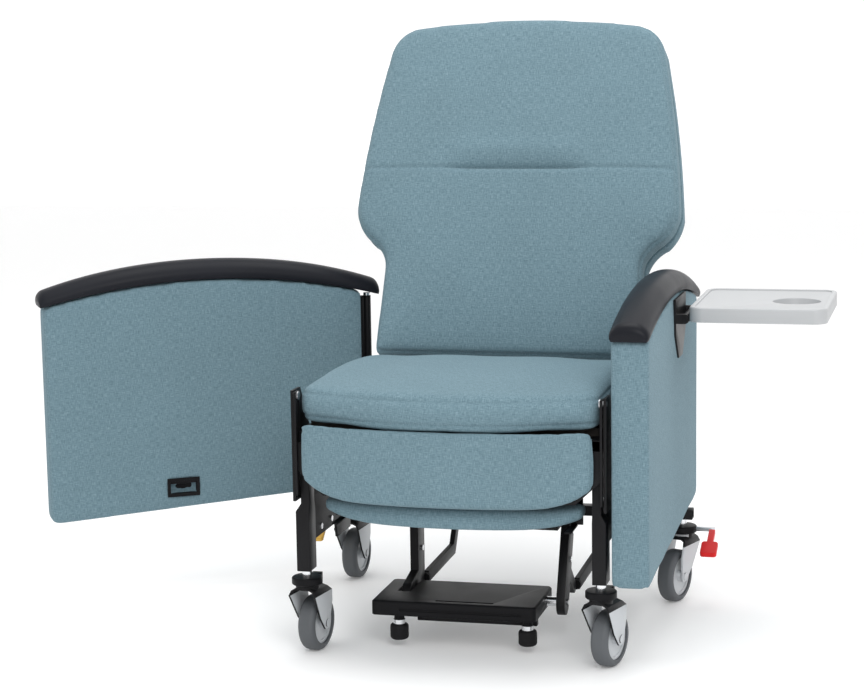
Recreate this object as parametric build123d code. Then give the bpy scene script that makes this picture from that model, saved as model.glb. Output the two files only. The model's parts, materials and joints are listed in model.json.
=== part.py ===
from build123d import *
import math
import os

# Clinical recliner in millimetres. X runs to the sitter's left, Y to the rear and Z up.
# X is zero on the centre plane, Y at the front of the closed arms and Z on the floor.
# The finished pieces are moved together so that the origin is the middle of the base of the whole chair.

# Running clearance of pins in their bores, and the gap left round soft pieces
running_gap = 0.05
soft_gap = 0.3
overrun = 2.0

# Arms
arm_inner_x = 292.0
arm_thickness = 68.0
arm_length = 648.0
arm_front_bottom = 155.0
arm_rear_bottom = 188.0
arm_top = 592.0
arm_arch_rise = 40.0
arm_corner = 14.0
arm_edge_round = 7.0
arm_open_angle = 58.0
arm_outer_x = arm_inner_x + arm_thickness
arm_mid_x = arm_inner_x + arm_thickness / 2

# Arm caps
cap_width = 71.0
cap_height = 38.0
cap_front_over = 5.0
cap_rear_over = 36.0
cap_seat_gap = 0.2

# Arm hinge
hinge_x = 325.0
hinge_set_back = 19.0
hinge_y = arm_length + hinge_set_back
hinge_pin_r = 5.0
hinge_barrel_r = 8.0
hinge_collar_r = 7.5
hinge_collar_height = 5.0
hinge_barrel_bottom = 192.0
hinge_barrel_top = 578.0
hinge_leaf_width = 26.0
hinge_leaf_thickness = 3.5
hinge_web = 5.0
hinge_flange_r = 12.0
hinge_flange_height = 6.0
hinge_lift_gap = 0.5

# Latch cup in the arm's inner face and the stud that it closes over
latch_y = 266.0
latch_z = 214.0
latch_width = 58.0
latch_height = 30.0
latch_depth = 17.0
latch_wall = 2.5
latch_bezel = 4.0
latch_bezel_proud = 1.2
latch_bar_low = 7.0
latch_bar_depth = 6.0
stud_r = 6.0
stud_reach = 9.0
stud_base = 14.0

# Seat
seat_half_width = 272.0
seat_front = -38.0
seat_bow = 64.0
seat_back = 484.0
seat_top = 497.0
seat_top_rear = 488.0
seat_bottom = 430.0
seat_crown = 13.0
seat_corner = 22.0
deck_thickness = 14.2
deck_front = 66.0
deck_half_width = 262.0

# Front legs and chassis tubes
leg_x = 269.0
leg_y = 42.0
leg_width = 25.0
leg_depth = 40.0
leg_bottom = 158.0
leg_shoulder = 268.0
leg_taper = 14.0
post_width = 16.0
post_depth = 32.0
tube_wall = 2.0
side_rail_bottom = 262.0
side_rail_top = 296.0
lower_rail_height = 20.0
seat_tube_bottom = 390.0
seat_tube_height = 24.0
seat_tube_rear = 562.0
seat_cross_size = 20.0
seat_cross_front_y = 44.0
seat_cross_rear_y = 470.0
spring_cross_y = 170.0
riser_y = 536.0
riser_depth = 24.0
gusset_thickness = 5.0
gusset_drop = 207.0
gusset_step_y = 206.0
gusset_step = 8.0
gusset_rear = 300.0
cross_tube_front = 552.0
cross_tube_depth = 26.0
cross_tube_half = 362.0
outrigger_width = 24.0
outrigger_over = 17.0
outrigger_rear = hinge_y + outrigger_over

# Side plates with the leg rest pivots
side_plate_inner = 278.8
side_plate_thickness = 5.0
side_plate_front = 17.0
side_plate_rear = 108.0
side_plate_bottom = 288.0
side_plate_top = 489.0
side_plate_foot = 3.0
lift_pivot_y = 25.0
lift_pivot_z = 479.0
lift_bolt_r = 5.0
lift_knob_r = 8.0
lift_knob_height = 2.5
boss_front = 60.0

# Backrest
back_lean = 20.8
back_foot_y = 500.0
back_foot_z = 490.0
back_base = -6.0
back_top = 696.0
back_foot_half = 268.0
back_waist_half = 262.0
back_wing_half = 330.0
back_corner_half = 275.5
back_corner_height = 674.0
back_corner_cut = 51.0
back_side_bow = 6.0
back_padding = 62.0
back_shell_depth = 42.0
back_shell_wall = 9.0
back_shell_rim = 13.0
back_seam_height = 376.0
back_seam_width = 5.0
back_tuck_half = 132.0
back_tuck_depth = 16.0
back_tuck_height = 16.0
back_crown = 8.0
upright_inner = 225.0
upright_width = 20.0
upright_depth = 20.0
upright_front = 66.0
upright_top = 640.0
hinge_plate_thickness = 5.0
recline_gap = 0.5
recline_depth = 62.0
recline_drop = 32.0
recline_bolt_r = 5.0
recline_boss_r = 13.0

# Recline gas spring
spring_x = 9.0
spring_crank_length = 90.0
spring_crank_lead = 25.0
spring_crank_half = 11.0
spring_crank_thickness = 8.0
spring_pin_r = 5.0
spring_eye_r = 17.0
spring_eye_slack = 5.0
spring_eye_thickness = 6.0
spring_rod_r = 5.0
spring_body_r = 13.0
spring_bore_r = 10.5
spring_body_front = 196.0
spring_body_rear = 400.0
spring_gland = 10.0
spring_rod_inner = 300.0
spring_stud_r = 6.0
spring_stud_length = 26.0
spring_lug_thickness = 8.0
spring_lug_width = 34.0
spring_lug_drop = 17.0

# Leg rest
pad_half_width = 268.0
pad_front = -39.0
pad_bow = 40.0
pad_back = 18.0
pad_bottom = 292.0
pad_top = 427.0
pad_top_rear = 400.0
pad_corner = 20.0
apron_half_width = 236.0
apron_front = 4.0
apron_bow = 44.0
apron_back = 96.0
apron_bottom = 248.0
apron_top = 289.0
apron_corner = 12.0
carrier_thickness = 3.5
lever_inner = 273.0
lever_thickness = 4.0
lever_front = 12.0
lever_rear = 36.0
lever_bottom = 300.0
lever_corner_z = 342.0
carrier_top = 396.0
carrier_web_half = 228.0
lift_deck_thickness = 8.0
lift_deck_front = 78.0
lift_deck_rear = 296.0
lift_deck_half = 162.0
linkage_offset = 24.0
linkage_half = 146.0
arm_link_thickness = 16.0
arm_link_half = 24.0
arm_link_top_y = 270.0
knee_z = 92.0
lug_half = 12.0
stop_bar_thickness = 10.0
stop_bar_height = 22.0
stop_bar_front = 304.0
stop_bar_front_z = 74.0
stop_bar_knee_y = 520.0
stop_bar_knee_z = 78.0
clip_x = 212.0
clip_width = 12.0
clip_thickness = 3.0
clip_reach = 14.0

# Footplate
fold_pivot_y = 200.0
fold_pivot_z = 77.0
fold_pin_r = 5.0
fold_sleeve_r = 9.0
plate_centre = -12.0
plate_half = 153.0
plate_front = 92.0
plate_rear = 254.0
plate_top = 92.0
plate_thickness = 27.0
plate_corner = 10.0
plate_edge = 3.0
notch_margin = 4.0
notch_front = 166.0
groove_depth = 3.0
groove_height = 5.0
slot_length = 108.0
slot_width = 7.0
foot_centre = 1.0
foot_spread = 120.0
foot_y = 120.0
foot_neck_r = 9.5
foot_neck_height = 13.0
foot_collar_r = 11.0
foot_collar_height = 8.0
foot_bulb_r = 17.0
foot_bulb_height = 29.0
plate_bar_centre = 22.0
plate_bar_half = 112.0
plate_bar_y = 140.0
plate_bar_depth = 14.0
plate_bar_height = 20.0

# Casters
wheel_r = 51.0
wheel_width = 32.0
hub_r = 38.5
hub_width = 25.0
hub_boss_r = 11.0
tyre_round = 9.0
axle_r = 4.0
axle_head_r = 7.5
axle_head_height = 2.5
trail = 34.0
fork_leg_gap = 18.0
fork_plate = 3.6
fork_shoulder_half = 27.0
fork_shoulder_drop = 14.0
fork_flat_half = 15.0
fork_eye_r = 12.0
fork_front = 24.0
fork_tip_y = 4.0
fork_tip_z = 66.0
fork_rear_over = 17.0
fork_rear_z = 90.0
fork_top = 126.0
race_r = 21.0
race_top = 130.7
head_bottom = 131.0
head_top = 145.0
head_r = 28.0
head_block = 18.0
stem_r = 9.0
rear_caster_x = 341.0
rear_caster_y = 565.0
turn_front_left = 8.0
turn_front_right = 16.0
turn_rear_left = 4.0
turn_rear_right = 198.0

# Brake pedals
pedal_spindle_r = 4.5
pedal_spindle_z = 138.0
pedal_socket_depth = 20.0
pedal_reach = 64.0
pedal_width = 32.0
pedal_length = 40.0
pedal_sleeve = 12.0
pedal_thickness = 10.0
pedal_slope = 24.0
pedal_yaw_right = 0.0
pedal_yaw_left = -6.0
pedal_round = 4.0
pedal_neck_right = 44.0
pedal_neck_left = 48.0
pedal_tang = 10.0

# Side table
table_inner = 391.0
table_outer = 638.0
table_front = 265.0
table_rear = 560.0
table_top = 616.0
table_thickness = 27.0
table_corner = 26.0
table_rim = 9.0
table_rim_drop = 3.0
cup_r = 44.0
cup_depth = 14.0
cup_x = 574.0
cup_y = 404.0
table_pivot_x = 380.0
table_pivot_z = 590.0
table_pin_r = 4.0
table_barrel_r = 8.0
table_leaf_thickness = 3.5
table_leaf_reach = 520.0
bracket_front = 300.0
bracket_rear = 432.0
bracket_thickness = 5.0
bracket_top = 625.0
bracket_side_height = 65.0
bracket_tail_drop = 48.0
bracket_shoulder = bracket_top - bracket_side_height
bracket_tail = bracket_shoulder - bracket_tail_drop
bracket_tail_half = 24.0
bracket_ear = 6.0
bracket_ear_height = 18.0

# Screws
bolt_r = 5.5
bolt_head = 3.5

NODES = {}


def keep(name, *solids):
    """Note the solids of a named piece."""
    NODES.setdefault(name, []).extend(solids)


def block(low, high):
    """Box between two corners."""
    size = [b - a for a, b in zip(low, high)]
    middle = [(a + b) / 2 for a, b in zip(low, high)]
    return Pos(*middle) * Box(*size)


def square_tube(low, high, along, wall=tube_wall):
    """Rectangular tube between two corners, open along one axis."""
    inner_low = [a + wall for a in low]
    inner_high = [b - wall for b in high]
    inner_low[along] = low[along] - overrun
    inner_high[along] = high[along] + overrun
    return block(low, high) - block(inner_low, inner_high)


def rod(start, end, radius):
    """Round bar between two points."""
    run = Vector(*end) - Vector(*start)
    return extrude(Plane(origin=start, z_dir=run) * Circle(radius), amount=run.length)


def ring(start, end, outer, inner):
    """Round tube between two points."""
    run = (Vector(*end) - Vector(*start)).normalized() * overrun
    first = tuple(Vector(*start) - run)
    last = tuple(Vector(*end) + run)
    return rod(start, end, outer) - rod(first, last, inner)


def plate_across(outline, x0, x1):
    """Flat plate whose outline is given in Y and Z, from x0 to x1."""
    face = make_face(Polyline([(x0, y, z) for y, z in outline], close=True))
    return extrude(face, amount=x1 - x0, dir=(1, 0, 0))


def plate_facing(outline, y0, y1):
    """Flat plate whose outline is given in X and Z, from y0 back to y1."""
    face = make_face(Polyline([(x, y0, z) for x, z in outline], close=True))
    return extrude(face, amount=y1 - y0, dir=(0, 1, 0))


def link(first, last, half, x0, x1):
    """Flat link with round ends between two points in Y and Z."""
    span = Vector(last[0] - first[0], last[1] - first[1], 0)
    side = Vector(-span.Y, span.X, 0).normalized() * half
    outline = [
        (first[0] + side.X, first[1] + side.Y),
        (last[0] + side.X, last[1] + side.Y),
        (last[0] - side.X, last[1] - side.Y),
        (first[0] - side.X, first[1] - side.Y),
    ]
    body = plate_across(outline, x0, x1)
    ends = [rod((x0, y, z), (x1, y, z), half) for y, z in (first, last)]
    return body + ends[0] + ends[1]


def other_side(solid):
    """The same piece on the other side of the centre plane."""
    return mirror(solid, about=Plane.YZ)


def both_sides(solid):
    return [solid, other_side(solid)]


def bowed_face(corners, cut, bows, normal):
    """Face with bowed sides and round corners; corners run anticlockwise about the normal."""
    corners = [Vector(*c) for c in corners]
    normal = Vector(*normal)
    count = len(corners)
    starts, ends, middles = [], [], []
    for i in range(count):
        here, after = corners[i], corners[(i + 1) % count]
        way = (after - here).normalized()
        starts.append(here + way * cut)
        ends.append(after - way * cut)
        middles.append((here + after) * (1 / 2) + way.cross(normal) * bows[i])
    corner_share = 0.586
    edges = []
    for i in range(count):
        after = corners[(i + 1) % count]
        following = starts[(i + 1) % count]
        chord = (ends[i] + following) * (1 / 2)
        edges.append(ThreePointArc(starts[i], middles[i], ends[i]))
        edges.append(ThreePointArc(ends[i], after + (chord - after) * corner_share, following))
    return make_face(edges)


# Soft pieces that run across the chair: their section in Y and Z changes towards both ends.
# A station is a share of the half width; the shares beside it say how far the section is drawn in.
station_shares = (-1.0, -0.97, -0.86, -0.5, 0.0, 0.5, 0.86, 0.97, 1.0)
draw_in_shares = (1.0, 0.42, 0.08, 0.0, 0.0, 0.0, 0.08, 0.42, 1.0)
corner_limit_share = 0.4


def cushion(half_width, front, bow, back, bottom, top, top_rear, corner, crown, end_draw, lift=0.0):
    """Crowned cushion: front bowed forward, ends drawn in, lower edge lifted towards the ends."""
    faces = []
    for share, draw in zip(station_shares, draw_in_shares):
        pull = draw * end_draw
        near = front + bow * share * share + pull
        low = bottom + lift * share ** 6 + pull * (0 if lift else 1)
        x = share * half_width
        corners = [
            (x, near, low),
            (x, back - pull, low),
            (x, back - pull, top_rear - pull),
            (x, near, top - pull),
        ]
        swell = crown * (1 - draw) + soft_gap
        bows = (soft_gap, soft_gap, swell, swell / 2)
        thinnest = min(back - pull - near, top_rear - pull - low, top - pull - low)
        cut = min(corner, thinnest * corner_limit_share)
        faces.append(bowed_face(corners, cut, bows, (1, 0, 0)))
    return loft(faces)


def make_seat():
    cushion_solid = cushion(
        seat_half_width, seat_front, seat_bow, seat_back, seat_bottom, seat_top, seat_top_rear,
        seat_corner, seat_crown, seat_corner / 2)
    keep("seat_cushion", cushion_solid)
    deck_low = seat_tube_bottom + seat_tube_height
    deck = block(
        (-deck_half_width, deck_front, deck_low),
        (deck_half_width, seat_back, deck_low + deck_thickness))
    keep("seat_deck", deck)


def make_front_legs():
    """Each front leg is a wide tube that narrows at a shoulder to the post that carries the seat."""
    half_w, half_d = leg_width / 2, leg_depth / 2
    inner = leg_x - half_w
    low = (inner, leg_y - half_d, leg_bottom)
    high = (leg_x + half_w, leg_y + half_d, leg_shoulder)
    core_low = (inner + tube_wall, leg_y - half_d + tube_wall, leg_bottom + leg_taper)
    core_high = (leg_x + half_w - tube_wall, leg_y + half_d - tube_wall, leg_shoulder - leg_taper)
    foot = block(low, high) - block(core_low, core_high)
    post_x = inner + post_width / 2
    shoulder = loft([
        Pos(leg_x, leg_y, leg_shoulder) * Rectangle(leg_width, leg_depth),
        Pos(post_x, leg_y, leg_shoulder + leg_taper) * Rectangle(post_width, post_depth),
    ])
    post = square_tube(
        (inner, leg_y - post_depth / 2, leg_shoulder + leg_taper),
        (inner + post_width, leg_y + post_depth / 2, seat_tube_bottom), 2)
    leg = foot + shoulder + post
    keep("front_legs", *both_sides(leg))


def rail_x():
    """Inner and outer X of the post, the side rails and the risers, all in one line."""
    inner = leg_x - leg_width / 2
    return inner, inner + post_width


def make_frame():
    inner, outer = rail_x()
    leg_rear = leg_y + leg_depth / 2
    post_rear = leg_y + post_depth / 2
    cross_rear = cross_tube_front + cross_tube_depth
    lower_bottom = leg_bottom
    lower_top = leg_bottom + lower_rail_height
    seat_tube_top = seat_tube_bottom + seat_tube_height
    rear_end = riser_y + riser_depth

    side_rail = square_tube((inner, post_rear, side_rail_bottom + leg_taper + leg_taper),
                            (outer, rear_end, side_rail_top + leg_taper), 1)
    keep("seat_frame_tubes", *both_sides(side_rail))

    seat_tube = square_tube((inner - tube_wall * 2, leg_y - half(post_depth), seat_tube_bottom),
                            (outer, seat_tube_rear, seat_tube_top), 1)
    cross_inner = inner - tube_wall * 2
    keep("seat_frame_tubes", *both_sides(seat_tube))
    for y in (seat_cross_front_y, spring_cross_y, seat_cross_rear_y - seat_cross_size):
        cross = square_tube((-cross_inner, y, seat_tube_bottom + tube_wall),
                            (cross_inner, y + seat_cross_size, seat_tube_top), 0)
        keep("seat_frame_tubes", cross)

    lower_rail = square_tube((inner, riser_y - riser_depth, lower_bottom),
                             (outer, cross_tube_front, lower_top), 1)
    low_riser = square_tube((inner, riser_y - riser_depth, lower_top),
                            (outer, riser_y, side_rail_bottom + 2 * leg_taper), 2)
    high_riser = square_tube((inner, riser_y - riser_depth, side_rail_top + leg_taper),
                             (outer, riser_y, seat_tube_bottom), 2)
    cross_tube = square_tube((-cross_tube_half, cross_tube_front, lower_bottom),
                             (cross_tube_half, cross_rear, lower_top), 0)
    outrigger = square_tube((hinge_x - outrigger_width / 2, cross_rear, lower_bottom),
                            (hinge_x + outrigger_width / 2, outrigger_rear, lower_top), 1)
    for solid in (lower_rail, low_riser, high_riser, outrigger):
        keep("rear_frame_tubes", *both_sides(solid))
    keep("rear_frame_tubes", cross_tube)

    gusset = plate_across(
        [(leg_rear, gusset_drop), (gusset_step_y, gusset_drop), (gusset_step_y + gusset_step, lower_top),
         (gusset_rear, lower_top), (gusset_rear, side_rail_bottom + 2 * leg_taper),
         (leg_rear, side_rail_bottom + 2 * leg_taper)],
        inner + gusset_thickness, inner + 2 * gusset_thickness)
    keep("side_gussets", *both_sides(gusset))


def half(size):
    return size / 2


def make_side_plates():
    """Plates outside the seat tubes that carry the leg rest pivots."""
    outer = rail_x()[1]
    face = plate_across(
        [(side_plate_front, side_plate_bottom), (side_plate_rear, side_plate_bottom),
         (side_plate_rear, seat_tube_bottom + seat_tube_height), (boss_front, side_plate_top),
         (side_plate_front, side_plate_top)],
        side_plate_inner, side_plate_inner + side_plate_thickness)
    foot = block(
        (outer + soft_gap, boss_front, side_plate_bottom),
        (side_plate_inner, side_plate_rear, side_plate_bottom + side_plate_foot))
    spacer = block(
        (outer, boss_front, seat_tube_bottom),
        (side_plate_inner, side_plate_rear, seat_tube_bottom + seat_tube_height))
    hole = rod((side_plate_inner - overrun, lift_pivot_y, lift_pivot_z),
               (side_plate_inner + side_plate_thickness + overrun, lift_pivot_y, lift_pivot_z),
               lift_bolt_r)
    keep("side_plates", *both_sides(face + foot + spacer - hole))
    knob_inner = lever_inner - lift_knob_height
    bolt = rod((lever_inner, lift_pivot_y, lift_pivot_z),
               (side_plate_inner + side_plate_thickness, lift_pivot_y, lift_pivot_z), lift_bolt_r)
    knob = rod((knob_inner, lift_pivot_y, lift_pivot_z),
               (lever_inner - running_gap, lift_pivot_y, lift_pivot_z), lift_knob_r)
    joined = rod((knob_inner + running_gap, lift_pivot_y, lift_pivot_z),
                 (lever_inner + running_gap, lift_pivot_y, lift_pivot_z), lift_bolt_r)
    keep("pivot_bolts", *both_sides(bolt + knob + joined))


def recline_pivot():
    """Y and Z of the recline axis, from its place on the leaning backrest."""
    lean = math.radians(back_lean)
    y = back_foot_y + recline_depth * math.cos(lean) - recline_drop * math.sin(lean)
    z = back_foot_z - recline_depth * math.sin(lean) - recline_drop * math.cos(lean)
    return y, z


def make_recline_ears():
    y, z = recline_pivot()
    ear_outer = rail_x()[0] - tube_wall * 2
    ear_inner = ear_outer - hinge_plate_thickness
    low_z = seat_tube_bottom
    ear = plate_across(
        [(y - recline_boss_r, low_z), (y + recline_boss_r, low_z), (y + recline_boss_r, z),
         (y - recline_boss_r, z)], ear_inner, ear_outer)
    ear += rod((ear_inner, y, z), (ear_outer, y, z), recline_boss_r)
    ear -= rod((ear_inner - overrun, y, z), (ear_outer + overrun, y, z), recline_bolt_r)
    keep("seat_frame_tubes", *both_sides(ear))
    bolt_end = ear_inner - recline_gap - hinge_plate_thickness
    bolt = rod((bolt_end, y, z), (ear_outer + bolt_head, y, z), recline_bolt_r)
    head = rod((ear_outer, y, z), (ear_outer + bolt_head, y, z), recline_boss_r / 2 + overrun)
    keep("pivot_bolts", *both_sides(bolt + head))


def back_outline(depth, inset):
    """Closed outline of the backrest, upright, at one depth; inset draws it in towards its middle."""
    middle = (back_top + back_base) / 2
    reach = (back_top - back_base) / 2
    wide = 1 - inset / back_wing_half
    tall = 1 - inset / reach

    def at(x, height):
        return (x * wide, depth, middle + (height - middle) * tall)

    waist_share, neck_share, wing_share = 0.26, 0.335, 0.42
    top_slope_share, corner_share = 0.133, 0.555
    waist = (back_waist_half, back_top * waist_share)
    neck = (back_waist_half + (back_wing_half - back_waist_half) * 0.6, back_top * neck_share)
    wing = (back_wing_half, back_top * wing_share)
    corner = (back_corner_half, back_corner_height)
    cut_share = back_corner_cut / math.dist(corner, wing)
    shoulder = tuple(c + (w - c) * cut_share for c, w in zip(corner, wing))
    crown = (corner[0] - back_corner_cut, corner[1] + back_corner_cut * top_slope_share)
    bend = tuple(c + ((s + k) / 2 - c) * corner_share for c, s, k in zip(corner, shoulder, crown))
    side = ((wing[0] + shoulder[0]) / 2 + back_side_bow, (wing[1] + shoulder[1]) / 2)
    bends = [
        ((back_foot_half, back_base), None, waist),
        (waist, (waist[0] + (neck[0] - waist[0]) * 0.27, waist[1] + (neck[1] - waist[1]) * 0.5), neck),
        (neck, (back_wing_half - (back_wing_half - neck[0]) * 0.28, (neck[1] + wing[1]) / 2), wing),
        (wing, side, shoulder),
        (shoulder, bend, crown),
    ]
    edges = [Line(at(-back_foot_half, back_base), at(back_foot_half, back_base))]
    for start, middle_point, end in bends:
        if middle_point is None:
            edges.append(Line(at(*start), at(*end)))
        else:
            edges.append(ThreePointArc(at(*start), at(*middle_point), at(*end)))
    edges.append(ThreePointArc(at(*crown), at(0, back_top), at(-crown[0], crown[1])))
    for start, middle_point, end in reversed(bends):
        first, last = (-end[0], end[1]), (-start[0], start[1])
        if middle_point is None:
            edges.append(Line(at(*first), at(*last)))
        else:
            edges.append(ThreePointArc(at(*first), at(-middle_point[0], middle_point[1]), at(*last)))
    return make_face(edges)


def lean_back(solid):
    """Carry a piece from the upright backrest to its leaning place on the chair."""
    return Pos(0, back_foot_y, back_foot_z) * Rot(-back_lean, 0, 0) * solid


def make_backrest():
    pad = loft([
        back_outline(back_padding, edge_draw(0.2)),
        back_outline(back_padding * 0.85, 0),
        back_outline(back_padding * 0.3, 0),
        back_outline(back_padding * 0.12, edge_draw(0.5)),
        back_outline(0, edge_draw(1.8)),
        back_outline(-back_crown * 0.4, edge_draw(5.5)),
        back_outline(-back_crown * 0.75, edge_draw(13)),
        back_outline(-back_crown, edge_draw(24)),
    ], ruled=True)
    seam = block(
        (-back_wing_half - overrun, -back_crown - overrun, back_seam_height - back_seam_width / 2),
        (back_wing_half + overrun, back_seam_width / 2, back_seam_height + back_seam_width / 2))
    tuck = tuck_wedge()
    keep("back_cushion", lean_back(pad - seam - tuck))

    rear = back_padding + soft_gap
    shell_back = rear + back_shell_depth
    outer = loft([
        back_outline(rear, edge_draw(0.2)),
        back_outline(shell_back - back_shell_wall, edge_draw(0.2)),
        back_outline(shell_back, edge_draw(1.3)),
    ], ruled=True)
    hollow = extrude(back_outline(rear - overrun, back_shell_rim),
                     amount=back_shell_depth - back_shell_wall + overrun, dir=(0, 1, 0))
    mouth = block(
        (-back_foot_half + back_shell_rim, rear - overrun, back_base - overrun),
        (back_foot_half - back_shell_rim, shell_back - back_shell_wall, back_base + back_shell_rim * 2))
    keep("back_shell", lean_back(outer - hollow - mouth))
    make_back_frame()


def edge_draw(times):
    """Draw-in of a cushion edge, as a number of edge roundings."""
    return times * arm_edge_round


def tuck_wedge():
    """The sewn tuck under the headrest: a V groove that runs out at both ends."""
    faces = []
    for share in (-1.0, -0.6, 0.6, 1.0):
        size = 1 - share ** 2 * 0.95
        x = share * back_tuck_half
        half_height = back_tuck_height / 2 * size
        outline = Polyline(
            [(x, -back_crown - overrun, back_seam_height + half_height),
             (x, back_tuck_depth * size, back_seam_height),
             (x, -back_crown - overrun, back_seam_height - half_height)], close=True)
        faces.append(make_face(outline))
    return loft(faces, ruled=True)


def make_back_frame():
    front, rear = upright_front, upright_front + upright_depth
    ear_inner = rail_x()[0] - tube_wall * 2 - hinge_plate_thickness
    plate_outer = ear_inner - recline_gap
    plate_inner = plate_outer - hinge_plate_thickness
    outer = plate_inner
    inner = outer - upright_width
    upright = square_tube((inner, front, -recline_drop + recline_boss_r), (outer, rear, upright_top), 2)
    for solid in both_sides(upright):
        keep("back_frame", lean_back(solid))
    cross_shares = (0.03, 0.5, 0.95)
    for share in cross_shares:
        z = upright_top * share
        cross = square_tube((-inner, front, z), (inner, rear, z + upright_width), 0)
        keep("back_frame", lean_back(cross))
    bracket = block((plate_inner, recline_depth - recline_boss_r, -recline_drop),
                    (plate_outer, rear, recline_boss_r))
    bracket += block((plate_inner, front, -recline_drop), (plate_outer, rear, back_shell_rim * 4))
    bracket -= block((plate_inner - overrun, 0, back_base - soft_gap * 2),
                     (plate_outer + overrun, rear_of_pad(), back_shell_rim * 4))
    bracket += rod((plate_inner, recline_depth, -recline_drop),
                   (plate_outer, recline_depth, -recline_drop), recline_boss_r)
    bracket -= rod((plate_inner - overrun, recline_depth, -recline_drop),
                   (plate_outer + overrun, recline_depth, -recline_drop),
                   recline_bolt_r + running_gap)
    for solid in both_sides(bracket):
        keep("back_brackets", lean_back(solid))
    make_crank(front, rear)


def rear_of_pad():
    """Depth just behind the padding and the soft gap."""
    return back_padding + soft_gap


def crank_end():
    """Y and Z of the crank pin at rest."""
    y, z = recline_pivot()
    lead = math.radians(spring_crank_lead)
    return y + spring_crank_length * math.sin(lead), z - spring_crank_length * math.cos(lead)


def make_crank(front, rear):
    """Crank plate from the lowest cross tube of the back frame down to the gas spring's pin."""
    lean = math.radians(back_lean)
    depth = (front + rear) / 2
    top_y = back_foot_y + depth * math.cos(lean)
    top_z = back_foot_z - depth * math.sin(lean)
    pin_y, pin_z = crank_end()
    half_t = spring_crank_thickness / 2
    crank = link((top_y, top_z), (pin_y, pin_z), spring_crank_half, -half_t, half_t)
    cross_bottom = upright_top * 0.03
    trim = block((-spring_crank_length, front - upright_depth, cross_bottom),
                 (spring_crank_length, rear + upright_depth, cross_bottom + spring_crank_length))
    crank -= lean_back(trim)
    pin = rod((half_t, pin_y, pin_z), (half_t + spring_eye_thickness * 2, pin_y, pin_z), spring_pin_r)
    keep("back_brackets", crank + pin)


def spring_axis_z():
    """Height of the gas spring: midway between the crank pin's highest and lowest place."""
    pivot_z = recline_pivot()[1]
    return (crank_end()[1] + pivot_z - spring_crank_length) / 2


def make_gas_spring():
    z = spring_axis_z()
    body = rod((spring_x, spring_body_front, z), (spring_x, spring_body_rear, z), spring_body_r)
    bore = rod((spring_x, spring_body_front + spring_gland, z),
               (spring_x, spring_body_rear - spring_gland, z), spring_bore_r)
    gland = rod((spring_x, spring_body_rear - spring_gland * 2, z),
                (spring_x, spring_body_rear + overrun, z), spring_rod_r + running_gap)
    stud = rod((spring_x, spring_body_front - spring_stud_length, z),
               (spring_x, spring_body_front, z), spring_stud_r)
    keep("gas_spring_cylinder", body - bore - gland + stud)

    lug_front = spring_body_front - spring_stud_length / 2 - spring_lug_thickness / 2
    lug = block((spring_x - spring_lug_width / 2, lug_front, z - spring_lug_drop),
                (spring_x + spring_lug_width / 2, lug_front + spring_lug_thickness,
                 seat_tube_bottom + tube_wall))
    lug -= rod((spring_x, lug_front - overrun, z),
               (spring_x, lug_front + spring_lug_thickness + overrun, z), spring_stud_r)
    keep("seat_frame_tubes", lug)

    pin_y = crank_end()[0]
    eye_x0 = spring_crank_thickness / 2 + soft_gap
    eye_x1 = eye_x0 + spring_eye_thickness
    shaft = rod((spring_x, spring_rod_inner, z), (spring_x, pin_y, z), spring_rod_r)
    eye = rod((eye_x0, pin_y, z), (eye_x1, pin_y, z), spring_eye_r)
    hole = rod((eye_x0 - spring_rod_r, pin_y, z), (eye_x1 + spring_rod_r * 2, pin_y, z),
               spring_pin_r + spring_eye_slack)
    keep("gas_spring_rod", shaft - hole + (eye - hole))


def arm_side_outline():
    """Outline of the closed arm's panel in Y and Z, at X zero."""
    c = arm_corner
    slope = math.atan2(arm_rear_bottom - arm_front_bottom, arm_length)
    rear_cut = (arm_length - c * math.cos(slope), arm_rear_bottom - c * math.sin(slope))
    front_cut = (c * math.cos(slope), arm_front_bottom + c * math.sin(slope))
    corner_share = 0.586

    def toward(corner, a, b):
        chord = ((a[0] + b[0]) / 2, (a[1] + b[1]) / 2)
        return tuple(k + (m - k) * corner_share for k, m in zip(corner, chord))

    front_up = (0, arm_front_bottom + c)
    rear_up = (arm_length, arm_rear_bottom + c)
    middle = (arm_length / 2, arm_top + arm_arch_rise)
    points = {
        "front": ThreePointArc(p3(front_up), p3(toward((0, arm_front_bottom), front_up, front_cut)),
                               p3(front_cut)),
        "bottom": Line(p3(front_cut), p3(rear_cut)),
        "rear": ThreePointArc(p3(rear_cut), p3(toward((arm_length, arm_rear_bottom), rear_cut, rear_up)),
                              p3(rear_up)),
        "back": Line(p3(rear_up), p3((arm_length, arm_top))),
        "top": ThreePointArc(p3((arm_length, arm_top)), p3(middle), p3((0, arm_top))),
        "face": Line(p3((0, arm_top)), p3(front_up)),
    }
    return make_face(list(points.values()))


def p3(point):
    """Point in Y and Z on the centre plane."""
    return (0, point[0], point[1])


def arm_arc_point(share):
    """Point and slope on the arm's top arc, carried on past both ends for the cap."""
    chord = arm_length / 2
    radius = (chord ** 2 + arm_arch_rise ** 2) / (2 * arm_arch_rise)
    first = -cap_front_over - chord
    last = chord + cap_rear_over
    y = first + (last - first) * share
    angle = math.asin(y / radius)
    z = arm_top + arm_arch_rise - radius * (1 - math.cos(angle))
    return chord + y, z, angle


cap_station_shares = (0.0, 0.012, 0.07, 0.25, 0.5, 0.75, 0.93, 0.988, 1.0)
cap_height_shares = (0.58, 0.70, 0.88, 0.98, 1.0, 0.97, 0.88, 0.70, 0.55)
cap_width_shares = (0.88, 0.96, 1.0, 1.0, 1.0, 1.0, 0.98, 0.90, 0.80)


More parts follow.
